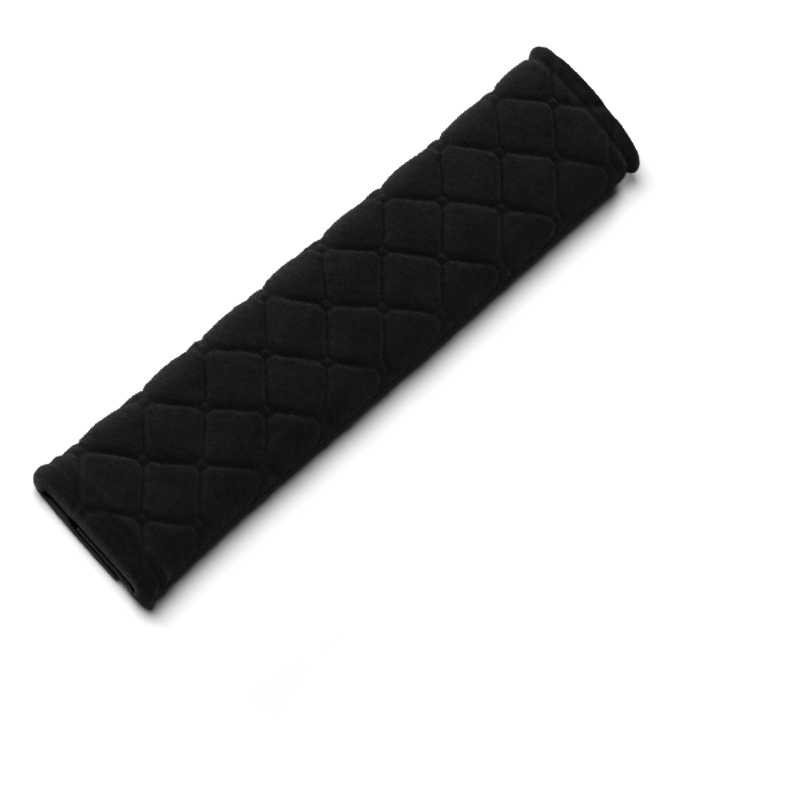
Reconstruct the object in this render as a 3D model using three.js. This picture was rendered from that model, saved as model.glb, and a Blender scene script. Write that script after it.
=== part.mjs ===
import * as THREE from "three";

// Seat belt shoulder pad: one quilted plush panel folded round the belt into a flat tube. Its ends
// are turned and stitched, and its two long flaps overlap underneath, where a hook tape and a loop
// tape hold them together.
// Millimetres. X runs along the pad, Y across it and +Z up. It lies on its outer flap at z = 0.

// Panel, as folded
const padLength = 304.5;        // between the two turned ends
const foldSpan = 66;            // across the side folds, over the quilting
const endFlare = 2;             // how much further out each side fold lies at the ends
const flareRun = 70;            // stretch at each end over which the pad widens
const sheet = 2.4;              // laminate where stitching pulls it thin
const puff = 3;                 // how far a quilted cell stands above its stitching
const flapPuff = 1.4;           // the same under the outer flap, pressed by the pad's weight
const passageCrown = 6.7;       // belt passage under the middle of the crown
const shoulderRun = 4.5;        // how far in from a side fold the crown begins to turn down
const shoulderRise = 7.5;       // how far above a fold's widest level it turns upright
const outerFoldRun = 11;        // how far in from its side fold the outer flap lies flat
const innerFoldRun = 6;         // the same for the inner flap, where it hangs lowest
const innerSag = 2;             // how far it hangs there below its taped stretch
const underPuff = 1.6;          // quilting under the inner flap, beside the tape

// Closure, off centre under the pad
const closureCentre = -5;
const tapeWidth = 20;
const tapeThickness = 1;
const selvedgeWidth = 1.6;
const selvedgeThickness = 0.6;
const tapeMargin = 2;           // from a tape's edge to the edge of its flap
const tapeEndGap = 3;           // from a tape's end to the hem's stitching
const sewnGap = 0.3;            // between a tape and the flap that it is sewn to
const closedGap = 0.3;          // between the closed tapes

// Quilting: square cells on the diagonal, with a small raised diamond where stitch lines cross
const quiltPitch = 25.3;        // between parallel stitch lines
const quiltShiftX = -7.2;       // one crossing, along the pad from its middle
const quiltShiftArc = 11;       // and round it from the crown's middle
const diamondReach = 2;         // from a crossing to the middle of its diamond's side
const diamondRise = 0.42;       // a diamond's height as a part of the cell's
const shoulderWidth = 1.9;      // how quickly a cell rises beside its stitching
const shoulderShare = 0.7;      // part of the rise made at that shoulder, the rest up to the middle

// Turned ends
const hemWidth = 8;             // from the end to the hem's stitching
const hemPuff = 2.3;            // roll of the hem above that stitching
const hemNotch = 0.35;          // how much of the quilting still shows in the roll
const turnedLayer = 0.4;        // layer turned in behind the hem
const edgeRound = 0.7;          // rounding of the free edges
const lobeReach = 0.8;          // bulky corners of the hem stand out this far along the pad
const lobeSwell = 1.1;          // and this far sideways
const lobeWidth = 5;

// Fineness of the faceted cloth
const stepsPerCrossing = 5;
const liningStepsPerCrossing = 1;
const closestLines = 1.2;

const cloth = new THREE.Color(0x191919);
const tapeBlack = new THREE.Color(0x141414);

// Levels of the layers above the surface it lies on, from the bottom up
const outerFlapLevel = flapPuff;
const hookTapeLevel = outerFlapLevel + sheet + sewnGap;
const loopTapeLevel = hookTapeLevel + tapeThickness + closedGap;
const innerFlapLevel = loopTapeLevel + tapeThickness + sewnGap;
const crownLevel = innerFlapLevel + sheet + passageCrown + sheet;
const foldLevel = (crownLevel + outerFlapLevel) / 2;
const foldReach = foldSpan / 2 - puff;
const overlap = tapeWidth + 2 * tapeMargin;
const crossing = quiltPitch / Math.SQRT2;

const clamp01 = (value) => Math.min(Math.max(value, 0), 1);
const ease = (value) => THREE.MathUtils.smoothstep(value, 0, 1);
const ramp = (value, from, to) => ease(clamp01((value - from) / (to - from)));

// Half of the folded section at the level of the stitching, from the crown's middle to a free edge.
// Its points are (across, up), with across positive on its own side of the pad.
function outerArmPath() {
  const flatFrom = foldReach - outerFoldRun;
  const path = crownPath();
  path.bezierCurveTo(
    foldReach, (foldLevel + outerFlapLevel) / 2 - 1,
    foldReach - outerFoldRun / 3, outerFlapLevel,
    flatFrom, outerFlapLevel,
  );
  path.lineTo(closureCentre - overlap / 2, outerFlapLevel);
  return path;
}

function innerArmPath() {
  const lowest = innerFlapLevel - innerSag;
  const hangAt = foldReach - innerFoldRun;
  const tapedFrom = -closureCentre + tapeWidth / 2 + tapeMargin / 4;
  const path = crownPath();
  path.bezierCurveTo(
    foldReach, foldLevel - (foldLevel - lowest) * 0.6,
    foldReach - innerFoldRun / 2, lowest,
    hangAt, lowest,
  );
  path.bezierCurveTo(
    (hangAt * 2 + tapedFrom) / 3, lowest,
    (hangAt + tapedFrom * 2) / 3, innerFlapLevel,
    tapedFrom, innerFlapLevel,
  );
  path.lineTo(-closureCentre - overlap / 2, innerFlapLevel);
  return path;
}

function crownPath() {
  const path = new THREE.Path();
  path.moveTo(0, crownLevel);
  path.bezierCurveTo(
    foldReach - shoulderRun, crownLevel,
    foldReach, foldLevel + shoulderRise,
    foldReach, foldLevel,
  );
  return path;
}

// An arm knows its side of the pad and how far along it each stretch ends.
function makeArm(path, side) {
  const ends = path.getCurveLengths();
  return { path, side, ends, length: ends[ends.length - 1] };
}

const outerArm = makeArm(outerArmPath(), 1);
const innerArm = makeArm(innerArmPath(), -1);

// Point and outward direction of the cloth at a distance round the pad from the crown's middle.
// Positive distances run down the outer flap's side, negative ones down the inner flap's.
function clothAt(arc) {
  const arm = arc < 0 ? innerArm : outerArm;
  const along = clamp01(Math.abs(arc) / arm.length);
  const point = arm.path.getPointAt(along);
  const tangent = arm.path.getTangentAt(along);
  return {
    y: point.x * arm.side,
    z: point.y,
    outY: -tangent.y * arm.side,
    outZ: tangent.x,
  };
}

// Distance to the nearest of a family of stitch lines
function toStitchLine(across) {
  const period = 2 * crossing;
  const wrapped = THREE.MathUtils.euclideanModulo(across + crossing, period) - crossing;
  return Math.abs(wrapped) / Math.SQRT2;
}

// Height of the quilting, from 0 at the stitching to 1 in the middle of a cell
function quiltHeight(along, arc) {
  const x = along - quiltShiftX;
  const s = arc - quiltShiftArc;
  const toRising = toStitchLine(x - s);
  const toFalling = toStitchLine(x + s);
  const toCrossing = (toRising + toFalling) / Math.SQRT2;
  if (toCrossing < diamondReach) return diamondRise * ease(1 - toCrossing / diamondReach);
  const inside = Math.min(toRising, toFalling, toCrossing - diamondReach);
  const shoulder = 1 - Math.exp(-inside / shoulderWidth);
  const dome = Math.sin((Math.PI / 2) * clamp01((2 * inside) / quiltPitch));
  return shoulderShare * shoulder + (1 - shoulderShare) * dome;
}

// How far a cell may puff out at a distance round the pad
function puffAt(arc) {
  const reached = Math.abs(arc);
  if (arc < 0) {
    const [sideFold, hang, taped] = innerArm.ends;
    const under = THREE.MathUtils.lerp(puff, underPuff, ramp(reached, sideFold, hang));
    return under * (1 - ramp(reached, hang, taped));
  }
  return puff * (1 - ramp(reached, outerArm.length - tapeMargin, outerArm.length));
}

// 1 at the middle of a side fold, fading to 0 on either side of it
function lobeAt(arc) {
  const sideFold = (arc < 0 ? innerArm : outerArm).ends[0];
  const away = (Math.abs(arc) - sideFold) / lobeWidth;
  return Math.exp(-away * away);
}

// Height of the turned hem's roll, at a distance from the end
function hemRoll(fromEnd) {
  const along = clamp01(fromEnd / hemWidth);
  return hemPuff * Math.sin(Math.PI * Math.pow(along, 0.6));
}

// How far the plush stands out from the level of its stitching
function standOut(along, arc) {
  const fromEnd = padLength / 2 - Math.abs(along);
  const quilt = quiltHeight(along, arc);
  const room = puffAt(arc);
  if (fromEnd >= hemWidth) return room * quilt * ramp(fromEnd, hemWidth, hemWidth + 3);
  const notched = 1 - hemNotch + hemNotch * quilt;
  const roll = (hemRoll(fromEnd) * notched * room) / puff;
  return roll + lobeSwell * lobeAt(arc) * Math.sin(Math.PI * clamp01(fromEnd / hemWidth));
}

function endReach(along, arc) {
  const intoHem = 1 - clamp01((padLength / 2 - Math.abs(along)) / hemWidth);
  return Math.sign(along) * lobeReach * lobeAt(arc) * intoHem;
}

// How much wider the pad is than at its middle
function widthAt(along) {
  const half = padLength / 2;
  return 1 + (endFlare / (foldSpan / 2)) * ramp(Math.abs(along), half - flareRun, half);
}

// Free edges and ends are thinned on both faces, which rounds them.
function edgeThinning(along, arc) {
  const arm = arc < 0 ? innerArm : outerArm;
  const toEdge = Math.min(padLength / 2 - Math.abs(along), arm.length - Math.abs(arc));
  return edgeRound * (1 - clamp01(toEdge / closestLines));
}

// Outer face: cells that meet the surface below are pressed flat on it.
function plushPoint(along, arc) {
  const { y, z, outY, outZ } = clothAt(arc);
  let out = standOut(along, arc);
  if (outZ < 0) out = Math.min(out, -z / outZ);
  out -= edgeThinning(along, arc);
  const across = (y + out * outY) * widthAt(along);
  return new THREE.Vector3(along + endReach(along, arc), across, z + out * outZ);
}

// Inner face, thicker where the hem's layer is turned in
function liningPoint(along, arc) {
  const { y, z, outY, outZ } = clothAt(arc);
  const fromEnd = padLength / 2 - Math.abs(along);
  const turned = turnedLayer * (1 - ramp(fromEnd, hemWidth, hemWidth + closestLines));
  const inwards = sheet + turned - edgeThinning(along, arc);
  const across = (y - inwards * outY) * widthAt(along);
  return new THREE.Vector3(along + endReach(along, arc), across, z - inwards * outZ);
}

// Lines of the quilting's grid between two limits: one at every crossing, one at each diamond's
// side, and equal steps between these.
function quiltLines(low, high, origin, steps) {
  const lines = [];
  const first = Math.floor((low - origin) / crossing);
  const last = Math.ceil((high - origin) / crossing);
  for (let cell = first; cell <= last; cell++) {
    const start = origin + cell * crossing;
    lines.push(start);
    for (let step = 0; step < steps - 1; step++) {
      const share = steps > 2 ? step / (steps - 2) : 0;
      lines.push(start + diamondReach + share * (crossing - 2 * diamondReach));
    }
  }
  return lines.filter((line) => line > low + closestLines && line < high - closestLines);
}

// Stations across the hem, from one end of the pad to its stitching
const hemStations = [0, closestLines, hemWidth * 0.4, hemWidth * 0.72, hemWidth];
const liningStations = [0, closestLines, hemWidth, hemWidth + closestLines];

function stationsAlong(stations, steps) {
  const inner = padLength / 2 - stations[stations.length - 1];
  const nearEnd = stations.map((station) => station - padLength / 2);
  const farEnd = stations.map((station) => padLength / 2 - station).reverse();
  return [...nearEnd, ...quiltLines(-inner, inner, quiltShiftX, steps), ...farEnd];
}

// The side of the grid's square on which a stitch line runs
function stitchRises(along, arc) {
  const column = Math.floor((along - quiltShiftX) / crossing);
  const row = Math.floor((arc - quiltShiftArc) / crossing);
  return THREE.MathUtils.euclideanModulo(column + row, 2) === 0;
}

// A closed skin built from points and triangles that face outwards
class Skin {
  positions = [];
  triangles = [];

  point(vector) {
    this.positions.push(vector.x, vector.y, vector.z);
    return this.positions.length / 3 - 1;
  }

  triangle(a, b, c, flipped) {
    this.triangles.push(a, flipped ? c : b, flipped ? b : c);
  }

  // Strip between two rows of points whose places along them may differ
  zip(rowA, placesA, rowB, placesB, flipped) {
    let a = 0;
    let b = 0;
    while (a < rowA.length - 1 || b < rowB.length - 1) {
      const nextA = a < rowA.length - 1 ? placesA[a + 1] : Infinity;
      const nextB = b < rowB.length - 1 ? placesB[b + 1] : Infinity;
      if (nextA <= nextB) {
        this.triangle(rowA[a], rowA[a + 1], rowB[b], flipped);
        a += 1;
      } else {
        this.triangle(rowA[a], rowB[b + 1], rowB[b], flipped);
        b += 1;
      }
    }
  }

  geometry() {
    const geometry = new THREE.BufferGeometry();
    geometry.setAttribute("position", new THREE.Float32BufferAttribute(this.positions, 3));
    geometry.setIndex(this.triangles);
    geometry.computeVertexNormals();
    return geometry;
  }
}

// One face of the panel, as a grid of point numbers
function faceGrid(skin, alongs, arcs, place) {
  return alongs.map((along) => arcs.map((arc) => skin.point(place(along, arc))));
}

function fillFace(skin, grid, alongs, arcs, flipped) {
  for (let i = 0; i < alongs.length - 1; i++) {
    for (let j = 0; j < arcs.length - 1; j++) {
      const near = [grid[i][j], grid[i][j + 1]];
      const far = [grid[i + 1][j], grid[i + 1][j + 1]];
      const middleAlong = (alongs[i] + alongs[i + 1]) / 2;
      const middleArc = (arcs[j] + arcs[j + 1]) / 2;
      if (stitchRises(middleAlong, middleArc)) {
        skin.triangle(near[0], far[0], far[1], flipped);
        skin.triangle(near[0], far[1], near[1], flipped);
      } else {
        skin.triangle(near[0], far[0], near[1], flipped);
        skin.triangle(far[0], far[1], near[1], flipped);
      }
    }
  }
}

// The folded panel: its plush face, its lining, and the edges that join them
function panelGeometry() {
  const skin = new Skin();
  const low = -innerArm.length;
  const high = outerArm.length;
  const arcs = [low, ...quiltLines(low, high, quiltShiftArc, stepsPerCrossing), high];
  const plushAlong = stationsAlong(hemStations, stepsPerCrossing);
  const liningAlong = stationsAlong(liningStations, liningStepsPerCrossing);
  const plush = faceGrid(skin, plushAlong, arcs, plushPoint);
  const lining = faceGrid(skin, liningAlong, arcs, liningPoint);
  fillFace(skin, plush, plushAlong, arcs, false);
  fillFace(skin, lining, liningAlong, arcs, true);
  for (const [end, flipped] of [[0, false], [1, true]]) {
    const plushRow = plush[end * (plush.length - 1)];
    const liningRow = lining[end * (lining.length - 1)];
    skin.zip(plushRow, arcs, liningRow, arcs, flipped);
  }
  for (const [edge, flipped] of [[0, true], [arcs.length - 1, false]]) {
    const plushRow = plush.map((row) => row[edge]);
    const liningRow = lining.map((row) => row[edge]);
    skin.zip(plushRow, plushAlong, liningRow, liningAlong, flipped);
  }
  return skin.geometry();
}

// Half of a fastening tape's section: a thin selvedge for the sewing and a thicker field that
// grips. The section is symmetric, so it is given as one outline.
function tapeShape() {
  const half = tapeWidth / 2;
  const field = half - selvedgeWidth;
  const shape = new THREE.Shape();
  shape.moveTo(-half, 0);
  shape.lineTo(half, 0);
  shape.lineTo(half, selvedgeThickness);
  shape.lineTo(field, selvedgeThickness);
  shape.lineTo(field - (tapeThickness - selvedgeThickness), tapeThickness);
  shape.lineTo(-field + (tapeThickness - selvedgeThickness), tapeThickness);
  shape.lineTo(-field, selvedgeThickness);
  shape.lineTo(-half, selvedgeThickness);
  shape.closePath();
  return shape;
}

// A tape lying along the pad, its gripping field up
function tapeGeometry() {
  const depth = padLength - 2 * (hemWidth + tapeEndGap);
  const geometry = new THREE.ExtrudeGeometry(tapeShape(), { depth, bevelEnabled: false });
  geometry.translate(0, 0, -depth / 2);
  geometry.rotateX(Math.PI / 2);
  geometry.rotateZ(Math.PI / 2);
  return geometry;
}

function quiltedPanel() {
  const material = new THREE.MeshStandardMaterial({ color: cloth, roughness: 0.95, metalness: 0 });
  const mesh = new THREE.Mesh(panelGeometry(), material);
  mesh.name = "quilted_panel";
  return mesh;
}

// The hook tape is sewn on the outer flap and grips upwards.
function hookTape() {
  const material = new THREE.MeshStandardMaterial({ color: tapeBlack, roughness: 0.6, metalness: 0 });
  const mesh = new THREE.Mesh(tapeGeometry(), material);
  mesh.name = "hook_tape";
  mesh.position.set(0, closureCentre, hookTapeLevel);
  return mesh;
}

// The loop tape is sewn under the inner flap and faces down.
function loopTape() {
  const material = new THREE.MeshStandardMaterial({ color: tapeBlack, roughness: 0.9, metalness: 0 });
  const mesh = new THREE.Mesh(tapeGeometry(), material);
  mesh.name = "loop_tape";
  mesh.rotation.x = Math.PI;
  mesh.position.set(0, closureCentre, loopTapeLevel + tapeThickness);
  return mesh;
}

const pad = new THREE.Group();
pad.add(quiltedPanel(), hookTape(), loopTape());

export default pad;
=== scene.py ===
import math

import bpy
import numpy as np
from mathutils import Matrix, Vector


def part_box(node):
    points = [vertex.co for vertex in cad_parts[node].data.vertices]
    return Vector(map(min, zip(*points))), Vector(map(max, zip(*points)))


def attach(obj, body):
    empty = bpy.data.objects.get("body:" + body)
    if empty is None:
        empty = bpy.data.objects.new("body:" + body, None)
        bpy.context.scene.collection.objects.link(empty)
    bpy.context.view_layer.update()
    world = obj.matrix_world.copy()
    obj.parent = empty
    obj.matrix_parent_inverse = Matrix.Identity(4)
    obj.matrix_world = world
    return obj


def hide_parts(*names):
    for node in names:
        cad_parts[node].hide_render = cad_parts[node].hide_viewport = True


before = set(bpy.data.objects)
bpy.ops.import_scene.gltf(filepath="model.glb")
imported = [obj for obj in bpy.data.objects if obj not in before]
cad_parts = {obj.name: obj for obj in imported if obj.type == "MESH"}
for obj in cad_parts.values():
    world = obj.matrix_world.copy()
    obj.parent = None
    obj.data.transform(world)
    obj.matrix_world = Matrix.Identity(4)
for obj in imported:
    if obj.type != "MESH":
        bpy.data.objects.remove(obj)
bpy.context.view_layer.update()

# Sizes are in millimetres and become metres where a mesh or an object is made.
MM = 0.001

# Laminate and its folded section
SHEET = 2.4
PUFF = 3.0
UNDER_PUFF = 1.6
FOLD_SPAN = 66.0
NEAR_OUTER_FLARE = 0.7
NEAR_INNER_FLARE = 1.6
FAR_OUTER_FLARE = 1.0
FLARE_RUN = 70.0
INNER_FOLD_TUCK = 0.8
SHOULDER_RUN = 4.5
SHOULDER_RISE = 7.5
OUTER_FOLD_RUN = 11.0
OUTER_FOLD_DROP = 1.0
INNER_FOLD_RUN = 6.0
INNER_FOLD_PULL = 0.6
INNER_SAG = 2.0
SEWN_GAP = 0.3
TAPE_MARGIN = 2.0

# Quilting: stitch lines on the diagonal, with a small diamond where they cross
QUILT_PITCH = 25.3
CROSSING = QUILT_PITCH / math.sqrt(2)
QUILT_SHIFT_ALONG = -7.2
QUILT_SHIFT_ARC = 11.0
CELL_STEPS = 8

# One step of the simulated cloth's grid, which is also half a small diamond's width
STEP = CROSSING / CELL_STEPS

# Turned ends: the near end's hem is the wider one
NEAR_HEM = 9.3
FAR_HEM = 6.3
NEAR_HEM_PUFF = 1.9
FAR_HEM_PUFF = 2.2
HEM_NOTCH = 0.6
HEM_NOTCH_WIDTH = 1.6
HEM_EDGE_SHARE = 0.35
HEM_EDGE_RUN = 3.5
NEAR_HEM_ROUND = 2.4
FAR_HEM_ROUND = 1.9
NEAR_HEM_SLOPE = 2.4
FAR_HEM_SLOPE = 0.4
TURNED_ROUND = 0.5
NEAR_CROWN_INSET = 0.3
NEAR_HEM_FILL = 2.0
NEAR_FILL_WIDTH = 4.0
THINNEST_RIM = 0.12
LOBE_REACH = 0.8
FAR_LOBE_REACH = 2.3
LOBE_SWELL = 2.0
LOBE_WIDTH = 6.0
FAR_BOW = 2.8
FAR_BOW_START = 11.0
FAR_SKEW = 1.2

# Cloth turned in behind the hems, which leaves each mouth of the pad a narrow slit
MOUTH_SLIT = 0.35
BARE_MOUTH_LEVEL = 9.8
BARE_FROM = 0.5
BARE_TO = 7.0
INNER_FLAP_TURN = 1.9
LEAST_TURN = 0.8
MOST_TURN = 7.6
TURN_FADE = 2.5
NO_TURN_FACING = 0.1
FULL_TURN_FACING = 0.6

# Quilted relief: each cell rises steeply beside its stitching, and less so over the side folds
STEEP_SHARE = 0.76
STEEP_WIDTH = 0.85
CROWNED_POWER = 0.8
GROOVE_FLOOR = 0.18
EVENED_CELL = 0.85
OUTER_FOLD_EVENING = 0.1
INNER_FOLD_EVENING = 0.85
FOLD_EVENING_WIDTH = 12.0
OUTER_FOLD_SWELL = 1.0
FOLD_SWELL_WIDTH = 8.0
OUTER_FOLD_PILLOWING = 0.3

# Unevenness of the soft cloth: how far it goes, and over what distance
SLACK = 0.5
SLACK_SIZE = 42.0
LUMP = 0.26
LUMP_SIZE = 9.0
FINE_LUMP = 0.2
FINE_LUMP_SIZE = 1.6
PUCKER = 0.3
PUCKER_SIZE = 3.4
PUCKER_REACH = 2.6
WANDER = 2.4
WANDER_SIZE = 21.0
WANDER_FADE = 4.0

# Plush pressed flat where the pad lies on it, and turned in along the flaps
PRESS_SOFTNESS = 0.25
PRESSED_PILE = 0.25
FACING_DOWN = 0.02
NO_LIMIT = 99.0
EDGE_TURN = 5.0
LINING_START = 0.4

# Fineness of the finished cloth
FINE = 0.9
LINING_FINE = 5.0
ROUND_RADIUS = 2.0
ROUND_ROWS = (0.0, 0.12, 0.4, 0.85, 1.4)
ROUND_ROWS_GAP = 0.6
HEM_ROWS = (2.0, 2.5, 3.0, 3.5, 4.0, 4.5, 5.0, 5.4, 5.8, 6.2, 6.6, 7.2, 8.0)
LINING_HEM_ROWS = (2.0, 2.8, 3.6, 5.0, 6.5, 8.0, 10.0, 12.0)
LINING_EVEN_START = 16.0
NOISE_MARGIN = 3
UV_SPAN = 400.0
UV_GAP = 20.0


def millimetres(corner):
    return np.array(corner) / MM


PANEL_LOW, PANEL_HIGH = map(millimetres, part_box("quilted_panel"))
HOOK_LOW, HOOK_HIGH = map(millimetres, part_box("hook_tape"))
LOOP_HIGH = millimetres(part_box("loop_tape")[1])

PAD_LENGTH = PANEL_HIGH[0] - PANEL_LOW[0] - 2 * LOBE_REACH
HALF_LENGTH = PAD_LENGTH / 2
CROWN_LEVEL = PANEL_HIGH[2] - PUFF
OUTER_FLAP_LEVEL = HOOK_LOW[2] - SEWN_GAP - SHEET
INNER_FLAP_LEVEL = LOOP_HIGH[2] + SEWN_GAP
FOLD_LEVEL = (CROWN_LEVEL + OUTER_FLAP_LEVEL) / 2
FOLD_REACH = FOLD_SPAN / 2 - PUFF
TAPE_WIDTH = HOOK_HIGH[1] - HOOK_LOW[1]
CLOSURE_CENTRE = (HOOK_HIGH[1] + HOOK_LOW[1]) / 2
OVERLAP = TAPE_WIDTH + 2 * TAPE_MARGIN


def smooth(value):
    value = np.clip(value, 0, 1)
    return value * value * (3 - 2 * value)


def ramp(value, low, high):
    return smooth((value - low) / (high - low))


def bell(distance, width):
    """1 at no distance, and nearly nothing at twice the width."""
    return np.exp(-((distance / width) ** 2))


def bezier(start, pull_a, pull_b, end, samples=120):
    t = np.linspace(0, 1, samples)[:, None]
    points = [np.array(p, float) for p in (start, pull_a, pull_b, end)]
    weights = ((1 - t) ** 3, 3 * t * (1 - t) ** 2, 3 * t * t * (1 - t), t ** 3)
    return sum(w * p for w, p in zip(weights, points))


def straight(start, end, samples=60):
    t = np.linspace(0, 1, samples)[:, None]
    return (1 - t) * np.array(start, float) + t * np.array(end, float)


def crown_curve():
    return bezier(
        (0, CROWN_LEVEL),
        (FOLD_REACH - SHOULDER_RUN, CROWN_LEVEL),
        (FOLD_REACH, FOLD_LEVEL + SHOULDER_RISE),
        (FOLD_REACH, FOLD_LEVEL),
    )


def outer_arm_curves():
    flat_from = FOLD_REACH - OUTER_FOLD_RUN
    return [
        crown_curve(),
        bezier(
            (FOLD_REACH, FOLD_LEVEL),
            (FOLD_REACH, (FOLD_LEVEL + OUTER_FLAP_LEVEL) / 2 - OUTER_FOLD_DROP),
            (FOLD_REACH - OUTER_FOLD_RUN / 3, OUTER_FLAP_LEVEL),
            (flat_from, OUTER_FLAP_LEVEL),
        ),
        straight((flat_from, OUTER_FLAP_LEVEL), (CLOSURE_CENTRE - OVERLAP / 2, OUTER_FLAP_LEVEL)),
    ]


def inner_arm_curves():
    lowest = INNER_FLAP_LEVEL - INNER_SAG
    hang_at = FOLD_REACH - INNER_FOLD_RUN
    taped_from = -CLOSURE_CENTRE + TAPE_WIDTH / 2 + TAPE_MARGIN / 4
    return [
        crown_curve(),
        bezier(
            (FOLD_REACH, FOLD_LEVEL),
            (FOLD_REACH, FOLD_LEVEL - (FOLD_LEVEL - lowest) * INNER_FOLD_PULL),
            (FOLD_REACH - INNER_FOLD_RUN / 2, lowest),
            (hang_at, lowest),
        ),
        bezier(
            (hang_at, lowest),
            ((hang_at * 2 + taped_from) / 3, lowest),
            ((hang_at + taped_from * 2) / 3, INNER_FLAP_LEVEL),
            (taped_from, INNER_FLAP_LEVEL),
        ),
        straight((taped_from, INNER_FLAP_LEVEL), (-CLOSURE_CENTRE - OVERLAP / 2, INNER_FLAP_LEVEL)),
    ]


def arc_lengths(points):
    return np.concatenate([[0], np.cumsum(np.linalg.norm(np.diff(points, axis=0), axis=1))])


class Section:
    """The folded section at the level of the stitching, by the distance round it from the
    crown's middle: positive down the outer flap's side, negative down the inner flap's."""

    def __init__(self):
        outer, self.outer_ends = self.join(outer_arm_curves())
        inner, self.inner_ends = self.join(inner_arm_curves())
        inner[:, 0] *= -1
        points = np.concatenate([inner[:0:-1], outer])
        arcs = arc_lengths(points)
        self.arcs = arcs - self.inner_ends[-1]
        self.points = points
        tangents = np.gradient(points, self.arcs, axis=0)
        tangents /= np.linalg.norm(tangents, axis=1)[:, None]
        self.outwards = np.stack([-tangents[:, 1], tangents[:, 0]], axis=1)
        self.low = self.arcs[0]
        self.high = self.arcs[-1]

    @staticmethod
    def join(curves):
        ends = np.cumsum([arc_lengths(curve)[-1] for curve in curves])
        joined = np.concatenate([curves[0]] + [curve[1:] for curve in curves[1:]])
        return joined, ends

    def at(self, arc):
        across = np.interp(arc, self.arcs, self.points[:, 0])
        up = np.interp(arc, self.arcs, self.points[:, 1])
        out_y = np.interp(arc, self.arcs, self.outwards[:, 0])
        out_z = np.interp(arc, self.arcs, self.outwards[:, 1])
        return across, up, out_y, out_z


section = Section()


def cubic_weights(fraction, rounded):
    """Weights of four neighbours: a rounded blend for noise, or one that passes through them."""
    f = fraction
    if rounded:
        weights = ((1 - f) ** 3, 3 * f**3 - 6 * f**2 + 4, -3 * f**3 + 3 * f**2 + 3 * f + 1, f**3)
        return [w / 6 for w in weights]
    first, last = -(f**3) + 2 * f**2 - f, f**3 - f**2
    weights = (first, 3 * f**3 - 5 * f**2 + 2, -3 * f**3 + 4 * f**2 + f, last)
    return [w / 2 for w in weights]


def cubic_sample(grid, column, row, rounded=False):
    first_column = np.floor(column).astype(int)
    first_row = np.floor(row).astype(int)
    across = cubic_weights(column - first_column, rounded)
    down = cubic_weights(row - first_row, rounded)
    total = np.zeros(np.broadcast(column, row).shape)
    for i, weight_i in enumerate(across):
        ci = np.clip(first_column + i - 1, 0, grid.shape[0] - 1)
        for j, weight_j in enumerate(down):
            cj = np.clip(first_row + j - 1, 0, grid.shape[1] - 1)
            total = total + weight_i * weight_j * grid[ci, cj]
    return total


def cloth_noise(along, arc, size, seed):
    """Smooth seeded noise over the flat cloth, with lumps of about the given size."""
    margins = 2 * NOISE_MARGIN + 2
    columns = int(2 * HALF_LENGTH / size) + margins
    rows = int((section.high - section.low) / size) + margins
    grid = np.random.default_rng(seed).uniform(-1, 1, (columns, rows))
    column = (along + HALF_LENGTH) / size + NOISE_MARGIN
    row = (arc - section.low) / size + NOISE_MARGIN
    return cubic_sample(grid, column, row, rounded=True)


def from_end(along):
    return HALF_LENGTH - np.abs(along)


def hem_width(along):
    return np.where(along < 0, NEAR_HEM, FAR_HEM)


def past_hem(along):
    """Distance from the hem's stitching, positive on the quilted side of it."""
    return from_end(along) - hem_width(along)


def from_flap_edge(arc):
    return np.minimum(arc - section.low, section.high - arc)


def to_stitch_line(across):
    period = 2 * CROSSING
    return np.abs(np.mod(across + CROSSING, period) - CROSSING) / math.sqrt(2)


def to_stitching(along, arc):
    """Distance in the flat cloth to the nearest stitching, which splits round each diamond."""
    x = along - QUILT_SHIFT_ALONG
    s = arc - QUILT_SHIFT_ARC
    rising = to_stitch_line(x - s)
    falling = to_stitch_line(x + s)
    to_diamond = (rising + falling) / math.sqrt(2) - STEP
    outside = np.minimum(np.minimum(rising, falling), np.abs(to_diamond))
    return np.where(to_diamond < 0, -to_diamond, outside)


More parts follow.
